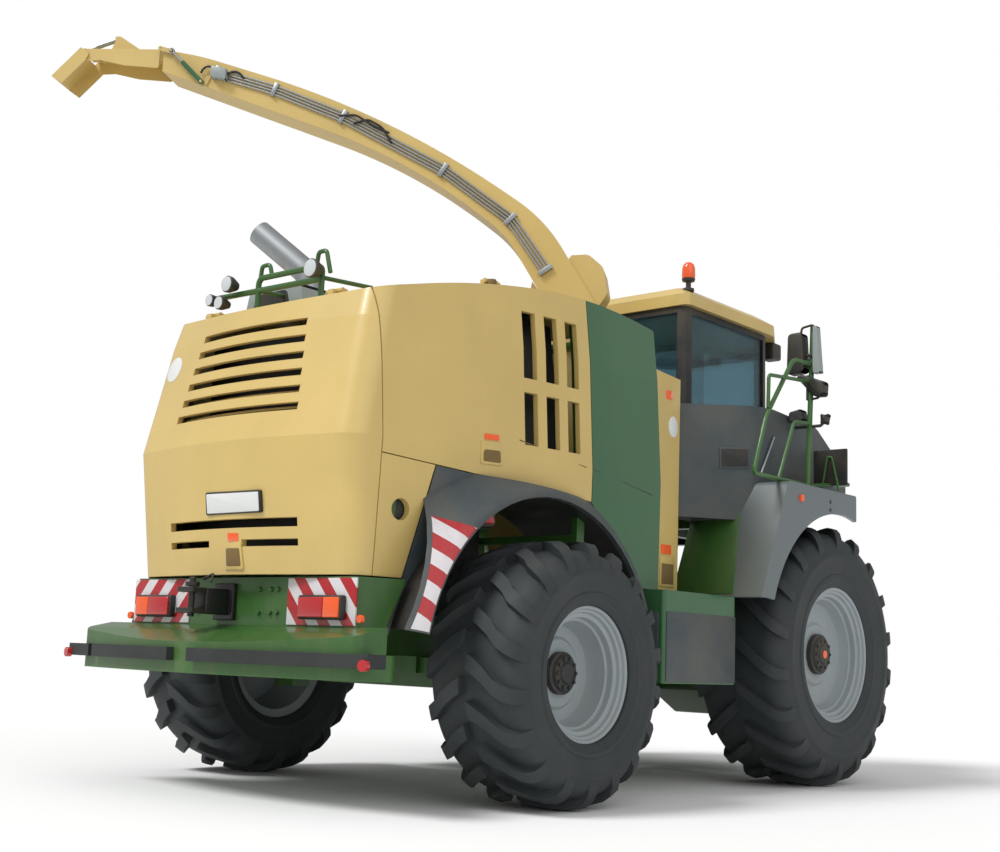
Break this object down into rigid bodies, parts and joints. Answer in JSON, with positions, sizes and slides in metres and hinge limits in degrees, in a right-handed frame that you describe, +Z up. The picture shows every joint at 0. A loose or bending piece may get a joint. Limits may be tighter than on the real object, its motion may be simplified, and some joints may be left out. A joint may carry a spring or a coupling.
{
  "type": "forage_harvester",
  "caption": "Self-propelled forage harvester with a swinging discharge spout, louvred tail hood, steered rear wheels and an empty header coupling",
  "frame": {"origin": "Ground point under the middle of the front axle", "axes": "+Z up, -Y the driving direction towards the header coupling, +X the left side of the machine"},
  "size_m": [5.466, 6.2959, 5.9028],
  "materials": {
    "body_paint": "semi_gloss",
    "band_paint": "gloss",
    "frame_paint": "satin",
    "rim_paint": "satin",
    "steel": "satin",
    "cast": "matte",
    "tyre": "matte",
    "rubber": "matte",
    "plastic": "satin",
    "glass": "gloss",
    "fabric": "matte"
  },
  "bodies": {
    "root": {"bumper": "frame_paint", "bumper_strips": "rubber", "cab_frame": "plastic", "cab_glass": "glass", "cab_roof": "body_paint", "cab_shrouds": "plastic", "cab_support": "frame_paint", "chassis_frame": "frame_paint", "corner_panels": "body_paint", "cover_hoops": "frame_paint", "deck_cover": "body_paint", "engine_block": "cast", "exhaust": "steel", "front_axle": "frame_paint", "front_columns": "body_paint", "front_fenders": "frame_paint", "intake_housing": "frame_paint", "rear_axle": "frame_paint", "rear_beam": "frame_paint", "rear_fenders": "frame_paint", "seat_and_console": "fabric", "side_bands": "band_paint", "side_boxes": "band_paint", "spout_tower": "body_paint"},
    "wheel_front_right": {"tyre_front_right": "tyre", "rim_front_right": "rim_paint"},
    "wheel_front_left": {"tyre_front_left": "tyre", "rim_front_left": "rim_paint"},
    "wheel_rear_right": {"tyre_rear_right": "tyre", "rim_rear_right": "rim_paint"},
    "wheel_rear_left": {"tyre_rear_left": "tyre", "rim_rear_left": "rim_paint"},
    "steering_right": {"knuckle_right": "frame_paint"},
    "steering_left": {"knuckle_left": "frame_paint"},
    "hood": {"rear_hood": "body_paint"},
    "flank_right": {"flank_right": "body_paint"},
    "flank_left": {"flank_left": "body_paint"},
    "door": {"cab_door": "plastic", "cab_door_glass": "glass"},
    "turret": {"spout_turret": "body_paint"},
    "spout": {"spout_channel": "body_paint"},
    "flap": {"spout_flap_inner": "body_paint"},
    "flap_tip": {"spout_flap_tip": "body_paint"},
    "lift_barrel": {"lift_barrel": "frame_paint"},
    "lift_rod": {"lift_rod": "frame_paint"},
    "flap_barrel": {"flap_barrel": "band_paint"},
    "flap_rod": {"flap_rod": "steel"},
    "tip_barrel": {"tip_barrel": "steel"},
    "tip_rod": {"tip_rod": "steel"},
    "roll_lower": {"feed_roll_lower": "steel"},
    "roll_upper": {"feed_roll_upper": "steel"}
  },
  "joints": [
    {"name": "spin_front_right", "type": "hinge", "parent": "root", "child": "wheel_front_right", "pos_m": [-1.424, 0, 0.965], "axis": [1, 0, 0], "continuous": true},
    {"name": "spin_front_left", "type": "hinge", "parent": "root", "child": "wheel_front_left", "pos_m": [1.424, 0, 0.965], "axis": [1, 0, 0], "continuous": true},
    {"name": "steer_right", "type": "hinge", "parent": "root", "child": "steering_right", "pos_m": [-1.02, 3.13, 0.775], "axis": [0, 0, 1], "range_deg": [-40, 40]},
    {"name": "steer_left", "type": "hinge", "parent": "root", "child": "steering_left", "pos_m": [1.02, 3.13, 0.775], "axis": [0, 0, 1], "range_deg": [-40, 40]},
    {"name": "spin_rear_right", "type": "hinge", "parent": "steering_right", "child": "wheel_rear_right", "pos_m": [-1.377, 3.13, 0.775], "axis": [1, 0, 0], "continuous": true},
    {"name": "spin_rear_left", "type": "hinge", "parent": "steering_left", "child": "wheel_rear_left", "pos_m": [1.377, 3.13, 0.775], "axis": [1, 0, 0], "continuous": true},
    {"name": "hood_open", "type": "hinge", "parent": "root", "child": "hood", "pos_m": [0, 4.287, 2.95201], "axis": [1, 0, 0], "range_deg": [0, 65]},
    {"name": "flank_right_open", "type": "hinge", "parent": "root", "child": "flank_right", "pos_m": [-0.883, 3.04, 3.19927], "axis": [0, 1, 0], "range_deg": [0, 70]},
    {"name": "flank_left_open", "type": "hinge", "parent": "root", "child": "flank_left", "pos_m": [0.883, 3.04, 3.19927], "axis": [0, -1, 0], "range_deg": [0, 70]},
    {"name": "door_open", "type": "hinge", "parent": "root", "child": "door", "pos_m": [0.866, 0.862, 2.9], "axis": [0, 0, 1], "range_deg": [0, 75]},
    {"name": "spout_swing", "type": "hinge", "parent": "root", "child": "turret", "pos_m": [0, 1.56, 3.18], "axis": [0, 0, 1], "range_deg": [-45, 165]},
    {"name": "spout_lift", "type": "hinge", "parent": "turret", "child": "spout", "pos_m": [-0.20352, 1.4425, 3.42], "axis": [0.5, -0.866, 0], "range_deg": [-24, 3]},
    {"name": "lift_barrel_turn", "type": "hinge", "parent": "turret", "child": "lift_barrel", "pos_m": [0.34641, 1.76, 3.3], "axis": [0.5, -0.866, 0], "range_deg": [-2.21, 17.65]},
    {"name": "lift_rod_slide", "type": "slide", "parent": "lift_barrel", "child": "lift_rod", "axis": [-0.6398, -0.3694, 0.674], "range_m": [-0.11793, 0.01475]},
    {"name": "flap_turn", "type": "hinge", "parent": "spout", "child": "flap", "pos_m": [2.85096, 3.206, 5.712], "axis": [0.5, -0.866, 0], "range_deg": [-35, 5]},
    {"name": "flap_barrel_turn", "type": "hinge", "parent": "spout", "child": "flap_barrel", "pos_m": [2.4168, 3.18397, 5.387], "axis": [0.5, -0.866, 0], "range_deg": [-1.13, 7.84]},
    {"name": "flap_rod_slide", "type": "slide", "parent": "flap_barrel", "child": "flap_rod", "axis": [0.6113, 0.3529, 0.7084], "range_m": [-0.00636, 0.04447]},
    {"name": "tip_turn", "type": "hinge", "parent": "flap", "child": "flap_tip", "pos_m": [3.48835, 3.574, 5.752], "axis": [0.5, -0.866, 0], "range_deg": [-30, 40]},
    {"name": "tip_barrel_turn", "type": "hinge", "parent": "flap", "child": "tip_barrel", "pos_m": [3.25885, 3.4415, 5.882], "axis": [0.5, -0.866, 0], "range_deg": [-1.43, 1.9]},
    {"name": "tip_rod_slide", "type": "slide", "parent": "tip_barrel", "child": "tip_rod", "axis": [0.8277, 0.4779, -0.2941], "range_m": [-0.03291, 0.02468]},
    {"name": "roll_lower_spin", "type": "hinge", "parent": "root", "child": "roll_lower", "pos_m": [0, -1.255, 0.655], "axis": [1, 0, 0], "continuous": true},
    {"name": "roll_upper_spin", "type": "hinge", "parent": "root", "child": "roll_upper", "pos_m": [0, -1.235, 1.01], "axis": [1, 0, 0], "continuous": true}
  ],
  "couplings": [
    {"joint": "steer_left", "follows": "steer_right", "ratio": 1},
    {"joint": "lift_barrel_turn", "follows": "spout_lift", "ratio": -0.73335},
    {"joint": "lift_rod_slide", "follows": "spout_lift", "m_per_rad": 0.28095},
    {"joint": "flap_barrel_turn", "follows": "flap_turn", "ratio": -0.22324},
    {"joint": "flap_rod_slide", "follows": "flap_turn", "m_per_rad": -0.072635},
    {"joint": "tip_barrel_turn", "follows": "tip_turn", "ratio": 0.047201},
    {"joint": "tip_rod_slide", "follows": "tip_turn", "m_per_rad": -0.047031}
  ]
}
